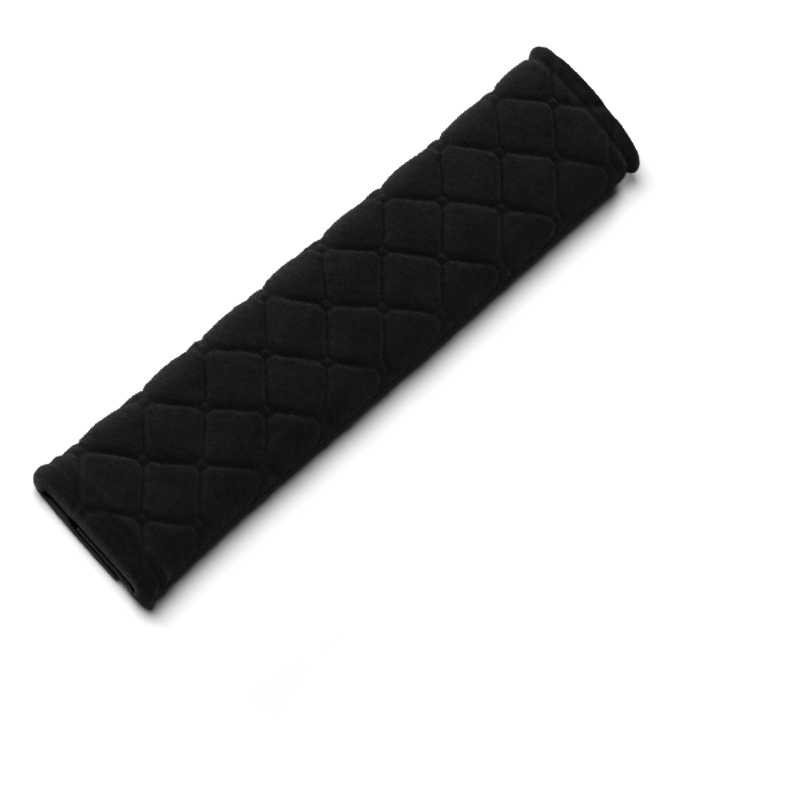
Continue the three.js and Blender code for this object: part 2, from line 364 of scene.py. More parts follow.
class Quilting:
    """The plush blown up as cloth between its stitching, kept as three fields over the flat
    cloth: how high it stands and how far it slides each way."""

    FRAMES = 20
    UNITS_PER_MM = 0.01
    EXCESS = 0.045
    PRESSURE = 6.0
    START_JITTER = 0.04
    FULL_PERCENTILE = 97
    HIGHEST = 1.25

    def __init__(self):
        first, last = -HALF_LENGTH - QUILT_SHIFT_ALONG, HALF_LENGTH - QUILT_SHIFT_ALONG
        low, high = section.low - QUILT_SHIFT_ARC, section.high - QUILT_SHIFT_ARC
        self.columns = np.arange(math.floor(first / STEP), math.ceil(last / STEP) + 1)
        self.rows = np.arange(math.floor(low / STEP), math.ceil(high / STEP) + 1)
        self.i, self.j = np.meshgrid(self.columns, self.rows, indexing="ij")
        self.along = QUILT_SHIFT_ALONG + self.i * STEP
        self.arc = QUILT_SHIFT_ARC + self.j * STEP
        moved = self.simulate()
        height = moved[..., 2]
        full = np.percentile(height, self.FULL_PERCENTILE)
        self.height = np.clip(height / full, 0, self.HIGHEST)
        self.slide_along = moved[..., 0] - self.along
        self.slide_arc = moved[..., 1] - self.arc

    def pinned(self):
        """Points held by stitching: the lines, the diamonds' sides, the hems and the border."""
        period = 2 * CELL_STEPS
        lines = ((self.i - self.j) % period == 0) | ((self.i + self.j) % period == 0)
        cell_i = np.round(self.i / CELL_STEPS).astype(int)
        cell_j = np.round(self.j / CELL_STEPS).astype(int)
        from_i = np.abs(self.i - cell_i * CELL_STEPS)
        from_j = np.abs(self.j - cell_j * CELL_STEPS)
        at_crossing = (cell_i + cell_j) % 2 == 0
        ring = at_crossing & (np.maximum(from_i, from_j) == 1)
        middle = at_crossing & (from_i == 0) & (from_j == 0)
        quilted = (lines | ring) & ~middle
        hem_line = np.abs(past_hem(self.along)) < STEP / 2
        in_hem = past_hem(self.along) < 0
        border = (self.i == self.i.min()) | (self.i == self.i.max())
        border |= (self.j == self.j.min()) | (self.j == self.j.max())
        return (quilted & ~in_hem) | hem_line | border

    def flat_draft(self):
        """The flat cloth before it is blown up, with its stitched points in a group."""
        jitter = self.START_JITTER * np.random.default_rng(11).normal(size=self.i.shape)
        start = np.stack([self.along, self.arc, jitter], axis=-1) * self.UNITS_PER_MM
        faces = grid_faces(np.arange(self.i.size).reshape(self.i.shape))
        cloth = bpy.data.meshes.new("cloth_draft")
        cloth.from_pydata(start.reshape(-1, 3).tolist(), [], faces)
        draft = bpy.data.objects.new("cloth_draft", cloth)
        bpy.context.scene.collection.objects.link(draft)
        group = draft.vertex_groups.new(name="stitched")
        group.add(np.flatnonzero(self.pinned().ravel()).tolist(), 1.0, "REPLACE")
        return draft, group

    def add_cloth(self, draft, group):
        modifier = draft.modifiers.new("quilting", "CLOTH")
        settings = modifier.settings
        settings.quality = 5
        settings.mass = 0.15
        settings.tension_stiffness = 15
        settings.compression_stiffness = 15
        settings.shear_stiffness = 5
        settings.bending_stiffness = 0.5
        settings.air_damping = 1
        settings.vertex_group_mass = group.name
        settings.use_pressure = True
        settings.uniform_pressure_force = self.PRESSURE
        settings.shrink_min = -self.EXCESS
        settings.shrink_max = -self.EXCESS
        settings.effector_weights.gravity = 0
        modifier.collision_settings.use_collision = False
        modifier.point_cache.frame_end = self.FRAMES

    def simulate(self):
        """Blows the cloth up and gives back where its points went."""
        draft, group = self.flat_draft()
        self.add_cloth(draft, group)
        for step in range(1, self.FRAMES + 1):
            bpy.context.scene.frame_set(step)
        evaluated = draft.evaluated_get(bpy.context.evaluated_depsgraph_get())
        shaped = evaluated.to_mesh()
        points = np.zeros(len(shaped.vertices) * 3)
        shaped.vertices.foreach_get("co", points)
        evaluated.to_mesh_clear()
        cloth = draft.data
        bpy.data.objects.remove(draft)
        bpy.data.meshes.remove(cloth)
        bpy.context.scene.frame_set(1)
        return points.reshape(self.i.shape + (3,)) / self.UNITS_PER_MM

    def at(self, along, arc):
        column = (along - QUILT_SHIFT_ALONG) / STEP - self.columns[0]
        row = (arc - QUILT_SHIFT_ARC) / STEP - self.rows[0]
        fields = (self.height, self.slide_along, self.slide_arc)
        return [cubic_sample(field, column, row) for field in fields]


def grid_faces(numbers):
    corners = (numbers[:-1, :-1], numbers[1:, :-1], numbers[1:, 1:], numbers[:-1, 1:])
    return np.stack(corners, axis=-1).reshape(-1, 4).tolist()


quilting = Quilting()


def room_to_puff(arc):
    """How far a cell may puff out at a distance round the pad."""
    reached = np.abs(arc)
    side_fold, hang, taped, _ = section.inner_ends
    under = PUFF + (UNDER_PUFF - PUFF) * ramp(reached, side_fold, hang)
    inner = under * (1 - ramp(reached, hang, taped))
    outer = PUFF * (1 - ramp(reached, section.high - TAPE_MARGIN, section.high))
    return np.where(arc < 0, inner, outer)


def from_side_fold(arc):
    return np.abs(arc) - np.where(arc < 0, section.inner_ends[0], section.outer_ends[0])


def lobe(arc):
    return bell(from_side_fold(arc), LOBE_WIDTH)


def cell_rise(along, arc, height):
    """How high a quilted cell stands, as a share of its room, evened out over the side folds."""
    steep = 1 - np.exp(-to_stitching(along, arc) / STEEP_WIDTH)
    at_fold = bell(from_side_fold(arc), FOLD_EVENING_WIDTH)
    share = STEEP_SHARE - OUTER_FOLD_PILLOWING * at_fold * (arc > 0)
    cell = share * steep + (1 - share) * np.power(np.clip(height, 0, None), CROWNED_POWER)
    evening = np.where(arc < 0, INNER_FOLD_EVENING, OUTER_FOLD_EVENING) * at_fold
    cell = cell * (1 - evening) + EVENED_CELL * evening
    return GROOVE_FLOOR + (1 - GROOVE_FLOOR) * cell


def hem_roll(along, arc):
    """How far a hem's roll stands out, notched where a stitch line runs into it."""
    near = along < 0
    slope = np.where(near, NEAR_HEM_SLOPE, FAR_HEM_SLOPE)
    rolled = 1 - np.exp(np.minimum(past_hem(along), 0) / slope)
    notch = 1 - HEM_NOTCH * bell(to_stitching(along, arc), HEM_NOTCH_WIDTH)
    roll = np.where(near, NEAR_HEM_PUFF, FAR_HEM_PUFF) * rolled * notch * room_to_puff(arc) / PUFF
    into = np.clip(from_end(along) / hem_width(along), 0, 1)
    return roll + LOBE_SWELL * lobe(arc) * np.sin(math.pi * into)


def stand_out(along, arc, height):
    """How far the plush stands out from the level of its stitching."""
    inside = past_hem(along)
    room = room_to_puff(arc)
    hem_edge = HEM_EDGE_SHARE + (1 - HEM_EDGE_SHARE) * ramp(inside, 0, HEM_EDGE_RUN)
    body = cell_rise(along, arc, height) * room * hem_edge
    swell = OUTER_FOLD_SWELL * bell(from_side_fold(arc), FOLD_SWELL_WIDTH) * (arc > 0)
    fill = NEAR_HEM_FILL * bell(inside, NEAR_FILL_WIDTH) * (along < 0) * room / PUFF
    return np.where(inside < 0, hem_roll(along, arc), body) + swell + fill


def rounding(along, arc, hem_round):
    """1 inside the cloth, falling round its free edges to leave only a narrow rim."""
    near = np.minimum(from_end(along) / hem_round, from_flap_edge(arc) / ROUND_RADIUS)
    return np.maximum(np.sqrt(1 - (1 - np.clip(near, 0, 1)) ** 2), THINNEST_RIM)


def flared(along, across):
    """The pad widens towards its ends, but for the far end's inner side, and its inner fold
    is drawn in a little."""
    near_flare = np.where(across > 0, NEAR_OUTER_FLARE, NEAR_INNER_FLARE)
    far_flare = np.where(across > 0, FAR_OUTER_FLARE, 0)
    reached = ramp(np.abs(along), HALF_LENGTH - FLARE_RUN, HALF_LENGTH)
    wider = across * np.where(along < 0, near_flare, far_flare) / (FOLD_SPAN / 2) * reached
    return across + wider + INNER_FOLD_TUCK * ramp(-across, FOLD_SPAN / 4, FOLD_SPAN / 2)


def place(along, arc, out):
    """Carries a place in the flat cloth, and a distance out from it, round the section."""
    across, up, out_y, out_z = section.at(arc)
    into_hem = 1 - np.clip(from_end(along) / hem_width(along), 0, 1)
    reach = np.where((along > 0) & (arc > 0), FAR_LOBE_REACH, LOBE_REACH)
    x = along + np.sign(along) * reach * lobe(arc) * into_hem
    x = x + NEAR_CROWN_INSET * into_hem * (along < 0) * ramp(up, FOLD_LEVEL, CROWN_LEVEL)
    y = flared(along, across + out * out_y)
    part = 2 * y / FOLD_SPAN
    bow = FAR_BOW * (1 - part**2) + FAR_SKEW * part
    x = x + bow * ramp(along, HALF_LENGTH - FAR_BOW_START, HALF_LENGTH)
    return np.stack([x, y, up + out * out_z], axis=-1)


def slack(along, arc):
    """Gentle unevenness of the crown and the side folds, none where the flaps are taped."""
    reached = np.abs(arc)
    ends = np.where(arc < 0, section.inner_ends[1], section.outer_ends[1])
    folds = np.where(arc < 0, section.inner_ends[0], section.outer_ends[0])
    return SLACK * cloth_noise(along, arc, SLACK_SIZE, seed=23) * (1 - ramp(reached, folds, ends))


def turned_layer(along, arc):
    """Thickness of the cloth turned in behind a hem, up to the slit that is left open. A mouth
    is bare where the outer flap has no inner flap over it, and closes halfway up there."""
    across, up, _, out_z = section.at(arc)
    inner_edge = CLOSURE_CENTRE + OVERLAP / 2
    bare = ramp(across, inner_edge + BARE_FROM, inner_edge + BARE_TO)
    over_inner = INNER_FLAP_LEVEL + SHEET + INNER_FLAP_TURN
    ceiling = over_inner + (BARE_MOUTH_LEVEL - over_inner) * bare
    under_inner = INNER_FLAP_LEVEL - SEWN_GAP
    outer_top = under_inner + (BARE_MOUTH_LEVEL - under_inner) * bare
    level = up - SHEET * out_z
    flap_room = np.where(arc > 0, outer_top, ceiling) - level
    room = np.where(up > FOLD_LEVEL, level - ceiling - MOUTH_SLIT, flap_room)
    layer = np.clip(room, 0, MOST_TURN) * ramp(np.abs(out_z), NO_TURN_FACING, FULL_TURN_FACING)
    return np.maximum(layer, LEAST_TURN) * (1 - ramp(past_hem(along), -TURN_FADE, TURN_FADE))


def round_off(along, arc, out, hem_round):
    """Draws the cloth in towards the middle of its thickness round its free edges."""
    middle = -(SHEET + turned_layer(along, arc)) / 2
    return middle + (out - middle) * rounding(along, arc, hem_round)


def lumps(along, arc):
    """Fine and broad lumps of the plush, with puckers beside the stitching."""
    fine = FINE_LUMP * cloth_noise(along, arc, FINE_LUMP_SIZE, seed=21)
    broad = LUMP * cloth_noise(along, arc, LUMP_SIZE, seed=22)
    pucker = PUCKER * cloth_noise(along, arc, PUCKER_SIZE, seed=24)
    return fine + broad + pucker * np.exp(-to_stitching(along, arc) / PUCKER_REACH)


def pressed(arc, out):
    """Keeps the plush above the surface that the pad lies on."""
    _, up, _, out_z = section.at(arc)
    room = (up - PRESSED_PILE) / np.maximum(-out_z, FACING_DOWN)
    limit = np.where(out_z < -FACING_DOWN, room, NO_LIMIT)
    return limit - PRESS_SOFTNESS * np.logaddexp(0, (limit - out) / PRESS_SOFTNESS)


def plush_points(along, arc):
    """Places of the plush for places in the flat cloth, whose stitching wanders a little."""
    height, slide_along, slide_arc = quilting.at(along, arc)
    lively = room_to_puff(arc) / PUFF
    out = stand_out(along, arc, height) + lively * lumps(along, arc) + slack(along, arc)
    inside = ramp(np.minimum(from_end(along), from_flap_edge(arc)), 0, WANDER_FADE)
    wander_along = WANDER * cloth_noise(along, arc, WANDER_SIZE, seed=25)
    wander_arc = WANDER * cloth_noise(along, arc, WANDER_SIZE, seed=26) * lively
    along = along + (slide_along + wander_along) * inside
    arc = arc + (slide_arc + wander_arc) * inside
    hem_round = np.where(along < 0, NEAR_HEM_ROUND, FAR_HEM_ROUND)
    return place(along, arc, round_off(along, arc, pressed(arc, out), hem_round))


def lining_points(along, arc):
    """Places of the lining, and of the cloth turned in behind the hems."""
    inwards = slack(along, arc) - SHEET - turned_layer(along, arc)
    return place(along, arc, round_off(along, arc, inwards, TURNED_ROUND))


def cloth_lines(low, high, spacing, stations=ROUND_ROWS):
    """Even lines between two edges of the cloth, with closer ones round each edge."""
    near = np.array(stations)
    inner = near[-1] + ROUND_ROWS_GAP
    count = int(round((high - low - 2 * inner) / spacing)) + 1
    even = np.linspace(low + inner, high - inner, count)
    return np.concatenate([low + near, even, high - near[::-1]])


def zip_rows(row_a, places_a, row_b, places_b, flipped):
    """Triangles between two rows of points whose places along them differ."""
    faces = []
    a = b = 0
    while a < len(row_a) - 1 or b < len(row_b) - 1:
        next_a = places_a[a + 1] if a < len(row_a) - 1 else math.inf
        next_b = places_b[b + 1] if b < len(row_b) - 1 else math.inf
        if next_a <= next_b:
            face = (row_a[a], row_a[a + 1], row_b[b])
            a += 1
        else:
            face = (row_a[a], row_b[b + 1], row_b[b])
            b += 1
        faces.append(tuple(int(n) for n in (face[::-1] if flipped else face)))
    return faces


def make_mesh(name, points, faces):
    mesh = bpy.data.meshes.new(name)
    mesh.from_pydata((points * MM).tolist(), [], faces)
    mesh.update()
    mesh.polygons.foreach_set("use_smooth", [True] * len(mesh.polygons))
    piece = bpy.data.objects.new(name, mesh)
    bpy.context.scene.collection.objects.link(piece)
    return piece


def add_cloth_map(piece, per_point):
    """Flat-cloth coordinates for the weave, one pair for each point of the mesh."""
    mesh = piece.data
    corners = np.zeros(len(mesh.loops), dtype=np.int64)
    mesh.loops.foreach_get("vertex_index", corners)
    layer = mesh.uv_layers.new(name="flat_cloth")
    layer.data.foreach_set("uv", (per_point[corners] / UV_SPAN).ravel())


def flat_places(alongs, arcs, shift):
    along, arc = np.meshgrid(alongs + HALF_LENGTH, arcs - section.low + shift, indexing="ij")
    return np.stack([along.ravel(), arc.ravel()], axis=1)


def lining_lines():
    """Lines across the lining, which lie close together only near the hems."""
    close = np.array(ROUND_ROWS + LINING_HEM_ROWS)
    even_to = HALF_LENGTH - LINING_EVEN_START
    even = np.arange(-even_to, even_to, LINING_FINE)
    return np.concatenate([close - HALF_LENGTH, even, (HALF_LENGTH - close)[::-1]])


def give_lining(piece, first, alongs, arcs):
    """Gives the faces from the first one on the second material, but keeps the plush where it
    is turned in round the edges."""
    middle_along = (alongs[:-1, :-1] + alongs[1:, 1:]) / 2
    middle_arc = (arcs[:-1, :-1] + arcs[1:, 1:]) / 2
    turned = (past_hem(middle_along) < LINING_START) | (from_flap_edge(middle_arc) < EDGE_TURN)
    slots = np.zeros(len(piece.data.polygons), dtype=np.int32)
    slots[first:first + turned.size] = np.where(turned, 0, 1).ravel()
    piece.data.polygons.foreach_set("material_index", slots)


def build_pad(plush, lining):
    arcs = cloth_lines(section.low, section.high, FINE)
    plush_alongs = cloth_lines(-HALF_LENGTH, HALF_LENGTH, FINE, ROUND_ROWS + HEM_ROWS)
    lining_alongs = lining_lines()
    plush_grid = np.meshgrid(plush_alongs, arcs, indexing="ij")
    lining_grid = np.meshgrid(lining_alongs, arcs, indexing="ij")
    points = np.concatenate([
        plush_points(*plush_grid).reshape(-1, 3),
        lining_points(*lining_grid).reshape(-1, 3),
    ])
    numbers = np.arange(len(points))
    outside = numbers[:plush_grid[0].size].reshape(plush_grid[0].shape)
    inside = numbers[plush_grid[0].size:].reshape(lining_grid[0].shape)
    plush_faces = grid_faces(outside)
    lining_faces = [quad[::-1] for quad in grid_faces(inside)]
    rims = []
    for end, flipped in ((0, False), (-1, True)):
        rims += zip_rows(outside[end], arcs, inside[end], arcs, flipped)
    for edge, flipped in ((0, True), (-1, False)):
        rims += zip_rows(outside[:, edge], plush_alongs, inside[:, edge], lining_alongs, flipped)
    piece = make_mesh("quilted_pad", points, plush_faces + lining_faces + rims)
    shift = section.high - section.low + UV_GAP
    add_cloth_map(piece, np.concatenate([
        flat_places(plush_alongs, arcs, 0),
        flat_places(lining_alongs, arcs, shift),
    ]))
    piece.data.materials.append(plush)
    piece.data.materials.append(lining)
    give_lining(piece, len(plush_faces), *lining_grid)
    return piece


# Sewing thread
THREAD_RADIUS = 0.16
STITCH_LENGTH = 2.5
STITCH_GAP = 0.55
THREAD_SIDES = 5
THREAD_RINGS = (0.0, 0.14, 0.5, 0.86, 1.0)
THREAD_SWELL = (0.3, 0.9, 1.0, 0.9, 0.3)
THREAD_LIFT = (-0.16, 0.0, 0.1, 0.0, -0.16)
THREAD_FLOOR = 0.01
SEAM_INSET = 0.8
CLEAR_OF_HEM = 0.6
LEAST_PUFF = 0.5


def stitches_along(start, end):
    """Even stitches on one straight stretch of the flat cloth, as pairs of end points."""
    start, end = np.array(start, float), np.array(end, float)
    length = np.linalg.norm(end - start)
    count = max(1, int(round(length / (STITCH_LENGTH + STITCH_GAP))))
    gap = STITCH_GAP / length
    pairs = []
    for k in range(count):
        a = start + (end - start) * (k / count + gap / 2)
        b = start + (end - start) * ((k + 1) / count - gap / 2)
        pairs.append((a, b))
    return pairs


def crossings():
    """Where the quilting's lines cross in the flat cloth, column by column."""
    first_column, last_column = (int(end / CELL_STEPS) for end in quilting.columns[[0, -1]])
    first_row, last_row = (int(end / CELL_STEPS) for end in quilting.rows[[0, -1]])
    for i in range(first_column - 1, last_column + 2):
        for j in range(first_row - 1, last_row + 2):
            if (i + j) % 2 == 0:
                yield QUILT_SHIFT_ALONG + i * CROSSING, QUILT_SHIFT_ARC + j * CROSSING


def quilting_stitches():
    """Stitches of the quilting: between the diamonds, and round each diamond's four sides."""
    pairs = []
    far = CROSSING - STEP
    for x, s in crossings():
        pairs += stitches_along((x + STEP, s + STEP), (x + far, s + far))
        pairs += stitches_along((x + STEP, s - STEP), (x + far, s - far))
        left, right, low, high = x - STEP, x + STEP, s - STEP, s + STEP
        corners = [(right, high), (left, high), (left, low), (right, low), (right, high)]
        for start, end in zip(corners, corners[1:]):
            pairs += stitches_along(start, end)
    return [pair for pair in pairs if all(in_quilted_field(*end) for end in pair)]


def in_quilted_field(along, arc):
    clear_of_hem = past_hem(along) > CLEAR_OF_HEM
    clear_of_edge = from_flap_edge(arc) > EDGE_TURN
    return clear_of_hem and clear_of_edge and room_to_puff(np.array(arc)) > LEAST_PUFF


def hem_stitches():
    pairs = []
    for along in (NEAR_HEM - HALF_LENGTH, HALF_LENGTH - FAR_HEM):
        pairs += stitches_along((along, section.low + EDGE_TURN), (along, section.high - EDGE_TURN))
    return pairs


def tape_seams():
    """Places of the outer flap's two tape seams, as distances round the pad."""
    inset = TAPE_MARGIN + SEAM_INSET
    return section.high - inset, section.high - OVERLAP + inset


def tape_stitches():
    reach = HOOK_HIGH[0] - SEAM_INSET
    pairs = []
    for arc in tape_seams():
        pairs += stitches_along((-reach, arc), (reach, arc))
    return pairs


def thread_rings(pairs):
    """Rings of points round short lengths of thread, which dip into the cloth at both ends."""
    ends = np.array(pairs)
    share = np.array(THREAD_RINGS)[None, :, None]
    flat = ends[:, None, 0] * (1 - share) + ends[:, None, 1] * share
    along, arc = flat[..., 0], flat[..., 1]
    surface = plush_points(along, arc)
    _, _, out_y, out_z = section.at(arc)
    outwards = np.stack([np.zeros(out_y.shape), out_y, out_z], axis=-1)
    centres = surface + outwards * (np.array(THREAD_LIFT) + THREAD_RADIUS / 2)[None, :, None]
    tangent = np.gradient(centres, axis=1)
    tangent /= np.linalg.norm(tangent, axis=-1, keepdims=True)
    sideways = np.cross(tangent, outwards)
    sideways /= np.linalg.norm(sideways, axis=-1, keepdims=True)
    upwards = np.cross(sideways, tangent)
    turn = np.linspace(0, 2 * math.pi, THREAD_SIDES, endpoint=False)[:, None]
    radius = THREAD_RADIUS * np.array(THREAD_SWELL)[None, :, None, None]
    ring = np.cos(turn) * upwards[..., None, :] + np.sin(turn) * sideways[..., None, :]
    points = centres[..., None, :] + radius * ring
    points[..., 2] = np.maximum(points[..., 2], THREAD_FLOOR)
    return points


def build_thread(name, pairs, material):
    points = thread_rings(pairs)
    count, rings = points.shape[:2]
    numbers = np.arange(count * rings * THREAD_SIDES).reshape(count, rings, THREAD_SIDES)
    following = np.roll(numbers, -1, axis=2)
    walls = np.stack([numbers[:, :-1], following[:, :-1], following[:, 1:], numbers[:, 1:]], axis=-1)
    caps = [tuple(row) for row in numbers[:, 0, ::-1].tolist()]
    caps += [tuple(row) for row in numbers[:, -1].tolist()]
    piece = make_mesh(name, points.reshape(-1, 3), walls.reshape(-1, 4).tolist() + caps)
    piece.data.materials.append(material)
    return piece


# Pile: short tufts all over the plush, each a closed spike that leans with the nap
CROWN_TUFTS = 34000
SIDE_TUFTS = 34000
UNDER_TUFTS = 44000
TUFT_LENGTH = (0.45, 0.95)
TUFT_RADIUS = 0.1
TUFT_SINK = 0.15
NAP_LEAN = 0.35
TUFT_SPREAD = 0.3
TIP_FLOOR = 0.02
PILE_END_MARGIN = 0.2
PILE_FLAP_MARGIN = 1.0
CROWN_PILE_END = 25.0
SIDE_PILE_END = 48.0
BARE_GROOVE = 1.2
MOUTH_TUFTS = 7000
MOUTH_PILE_START = 0.15
MOUTH_PILE_REACH = 3.0

# Distance to the neighbouring places that show which way a surface faces
PROBE = 0.05
SMALLEST_PATCH = 1e-7


def tufts_between(low, high, count, seed):
    """Random places over the plush between two distances round the pad, on both its sides."""
    generator = np.random.default_rng(seed)
    reach = HALF_LENGTH - PILE_END_MARGIN
    along = generator.uniform(-reach, reach, count)
    arc = generator.uniform(low, high, count) * generator.choice((-1.0, 1.0), count)
    on_cloth = from_flap_edge(arc) > PILE_FLAP_MARGIN
    arc = np.where(on_cloth, arc, 0)
    free = on_cloth & (room_to_puff(arc) > UNDER_PUFF / 2)
    free &= (np.abs(arc) < SIDE_PILE_END) | (to_stitching(along, arc) > BARE_GROOVE)
    return along[free], arc[free], generator


def tufts_in_mouths(count, seed):
    """Random places over the cloth turned in at both ends."""
    generator = np.random.default_rng(seed)
    end = generator.choice((-1.0, 1.0), count)
    along = end * (HALF_LENGTH - generator.uniform(MOUTH_PILE_START, MOUTH_PILE_REACH, count))
    low, high = section.low + PILE_FLAP_MARGIN, section.high - PILE_FLAP_MARGIN
    return along, generator.uniform(low, high, count), generator


def tuft_roots(surface, along, arc):
    """Roots on a surface, each with its outward direction and two directions in the surface.
    The lining faces the other way from the plush, so one of its directions is turned round."""
    roots = surface(along, arc)
    probe = np.where(along < 0, PROBE, -PROBE)
    first = (surface(along + probe, arc) - roots) * np.sign(probe)[:, None]
    second = surface(along, arc + PROBE) - roots
    if surface is lining_points:
        second = -second
    normals = np.cross(first, second)
    lengths = np.linalg.norm(normals, axis=1)
    clear = (lengths > SMALLEST_PATCH) & (roots[:, 2] > PRESSED_PILE / 2)
    roots, normals = roots[clear], normals[clear] / lengths[clear][:, None]
    first = first[clear] / np.linalg.norm(first[clear], axis=1)[:, None]
    return roots, normals, first, np.cross(normals, first)


def build_pile(name, places, surface, material):
    along, arc, generator = places
    roots, normals, first, second = tuft_roots(surface, along, arc)
    lean = np.array((-NAP_LEAN, 0, 0)) + TUFT_SPREAD * generator.normal(size=roots.shape)
    towards = normals + lean
    towards /= np.linalg.norm(towards, axis=1)[:, None]
    tips = roots + towards * generator.uniform(*TUFT_LENGTH, len(roots))[:, None]
    tips[:, 2] = np.maximum(tips[:, 2], TIP_FLOOR)
    turn = generator.uniform(0, 2 * math.pi, len(roots))[:, None]
    corners = [
        roots - TUFT_SINK * normals
        + TUFT_RADIUS * (np.cos(turn + angle) * first + np.sin(turn + angle) * second)
        for angle in (0, 2 * math.pi / 3, 4 * math.pi / 3)
    ]
    points = np.stack(corners + [tips], axis=1).reshape(-1, 3)
    numbers = np.arange(len(points)).reshape(-1, 4)
    sides = [(0, 2, 1), (0, 1, 3), (1, 2, 3), (2, 0, 3)]
    faces = np.concatenate([numbers[:, list(side)] for side in sides])
    piece = make_mesh(name, points, faces.tolist())
    piece.data.materials.append(material)
    return piece


# Materials
def new_material(name):
    material = bpy.data.materials.new(name)
    material.use_nodes = True
    tree = material.node_tree
    tree.nodes.clear()
    output = tree.nodes.new("ShaderNodeOutputMaterial")
    shader = tree.nodes.new("ShaderNodeBsdfPrincipled")
    tree.links.new(shader.outputs["BSDF"], output.inputs["Surface"])
    return material, tree, shader


def add_node(tree, kind, values=(), **settings):
    node = tree.nodes.new(kind)
    for name, value in settings.items():
        setattr(node, name, value)
    for name, value in values:
        node.inputs[name].default_value = value
    return node


def noise_node(tree, vector, scale, detail=3.0, roughness=0.6):
    node = add_node(tree, "ShaderNodeTexNoise", (
        ("Scale", scale), ("Detail", detail), ("Roughness", roughness)))
    tree.links.new(vector, node.inputs["Vector"])
    return node.outputs["Fac"]


def math_node(tree, operation, first, second=None, third=None):
    node = add_node(tree, "ShaderNodeMath", operation=operation)
    for index, value in enumerate((first, second, third)):
        if value is None:
            continue
        if isinstance(value, (int, float)):
            node.inputs[index].default_value = value
        else:
            tree.links.new(value, node.inputs[index])
    return node.outputs["Value"]


def flat_cloth_nodes(tree):
    """Places along the pad and round it, in millimetres over the flat cloth."""
    place_node = add_node(tree, "ShaderNodeUVMap", uv_map="flat_cloth")
    split = add_node(tree, "ShaderNodeSeparateXYZ")
    tree.links.new(place_node.outputs["UV"], split.inputs["Vector"])
    along = math_node(tree, "MULTIPLY_ADD", split.outputs["X"], UV_SPAN, -HALF_LENGTH)
    arc = math_node(tree, "MULTIPLY_ADD", split.outputs["Y"], UV_SPAN, section.low)
    return along, arc


def knit_pattern(tree, along, arc, pitch):
    """Small raised loops on a square grid of the given pitch, from 0 to 1."""
    waves = []
    for way in (along, arc):
        angle = math_node(tree, "MULTIPLY", way, 2 * math.pi / pitch)
        waves.append(math_node(tree, "SINE", angle))
    product = math_node(tree, "MULTIPLY", waves[0], waves[1])
    return math_node(tree, "MULTIPLY_ADD", product, 0.5, 0.5)


FAR_AWAY = 100.0


def stitching_distance(tree, along, arc):
    """Distance to the nearest stitching of the quilting or of the far hem."""
    x = math_node(tree, "SUBTRACT", along, QUILT_SHIFT_ALONG)
    s = math_node(tree, "SUBTRACT", arc, QUILT_SHIFT_ARC)
    lines = []
    for operation in ("SUBTRACT", "ADD"):
        diagonal = math_node(tree, operation, x, s)
        to_line = math_node(tree, "PINGPONG", diagonal, CROSSING)
        lines.append(math_node(tree, "DIVIDE", to_line, math.sqrt(2)))
    both = math_node(tree, "ADD", lines[0], lines[1])
    to_diamond = math_node(tree, "MULTIPLY_ADD", both, 1 / math.sqrt(2), -STEP)
    round_diamond = math_node(tree, "ABSOLUTE", to_diamond)
    outside = math_node(tree, "MINIMUM", lines[0], lines[1])
    in_diamond = math_node(tree, "LESS_THAN", to_diamond, 0.0)
    outside = math_node(tree, "MULTIPLY_ADD", in_diamond, FAR_AWAY, outside)
    quilted = math_node(tree, "MINIMUM", outside, round_diamond)
    past_near = math_node(tree, "ADD", along, HALF_LENGTH - NEAR_HEM)
    past_far = math_node(tree, "SUBTRACT", HALF_LENGTH - FAR_HEM, along)
    past = math_node(tree, "MINIMUM", past_near, past_far)
    in_hem = math_node(tree, "LESS_THAN", past, 0.0)
    quilted = math_node(tree, "MULTIPLY_ADD", in_hem, FAR_AWAY, quilted)
    return math_node(tree, "MINIMUM", quilted, math_node(tree, "ABSOLUTE", past_far))


def ramp_node(tree, factor, *stops):
    node = add_node(tree, "ShaderNodeValToRGB")
    elements = node.color_ramp.elements
    while len(elements) < len(stops):
        elements.new(0.5)
    for element, (position, colour) in zip(elements, stops):
        element.position = position
        element.color = (*colour, 1)
    tree.links.new(factor, node.inputs["Fac"])
    return node.outputs["Color"]


def bump_node(tree, height, strength, distance, below=None):
    node = add_node(tree, "ShaderNodeBump", (("Strength", strength), ("Distance", distance)))
    tree.links.new(height, node.inputs["Height"])
    if below is not None:
        tree.links.new(below, node.inputs["Normal"])
    return node.outputs["Normal"]


# Colours and patterns: noise scales are per metre, pitches in millimetres, bump depths in metres
PLUSH_DARK = (0.0028, 0.0028, 0.0029)
PLUSH_MIDDLE = (0.0046, 0.0046, 0.0047)
PLUSH_LIGHT = (0.0072, 0.0071, 0.0070)
PILE_TIPS = (0.0120, 0.0118, 0.0116)
LINING_DARK = (0.006, 0.006, 0.0065)
LINING_LIGHT = (0.012, 0.012, 0.0125)
THREAD_DARK = (0.004, 0.004, 0.0041)
THREAD_LIGHT = (0.008, 0.008, 0.008)
TAPE_TIPS = (0.016, 0.016, 0.017)
TAPE_GROUND = (0.005, 0.005, 0.0055)
NAP_SCALE = 60.0
TUFT_SCALE = 520.0
PILE_SCALE = 1400.0
FIBRE_SCALE = 3000.0
SPECKLE_SCALE = 700.0
TWIST_SCALE = 2600.0
HOOK_SCALE = 620.0
LOOP_SCALE = 900.0
KNIT_PITCH = 1.3
WEAVE_PITCH = 0.9
# Painted shade in the stitched grooves: how much darker the plush's colour is made there, and over
# what width
GROOVE_SHADE = 0.1
GROOVE_WIDTH = 0.8


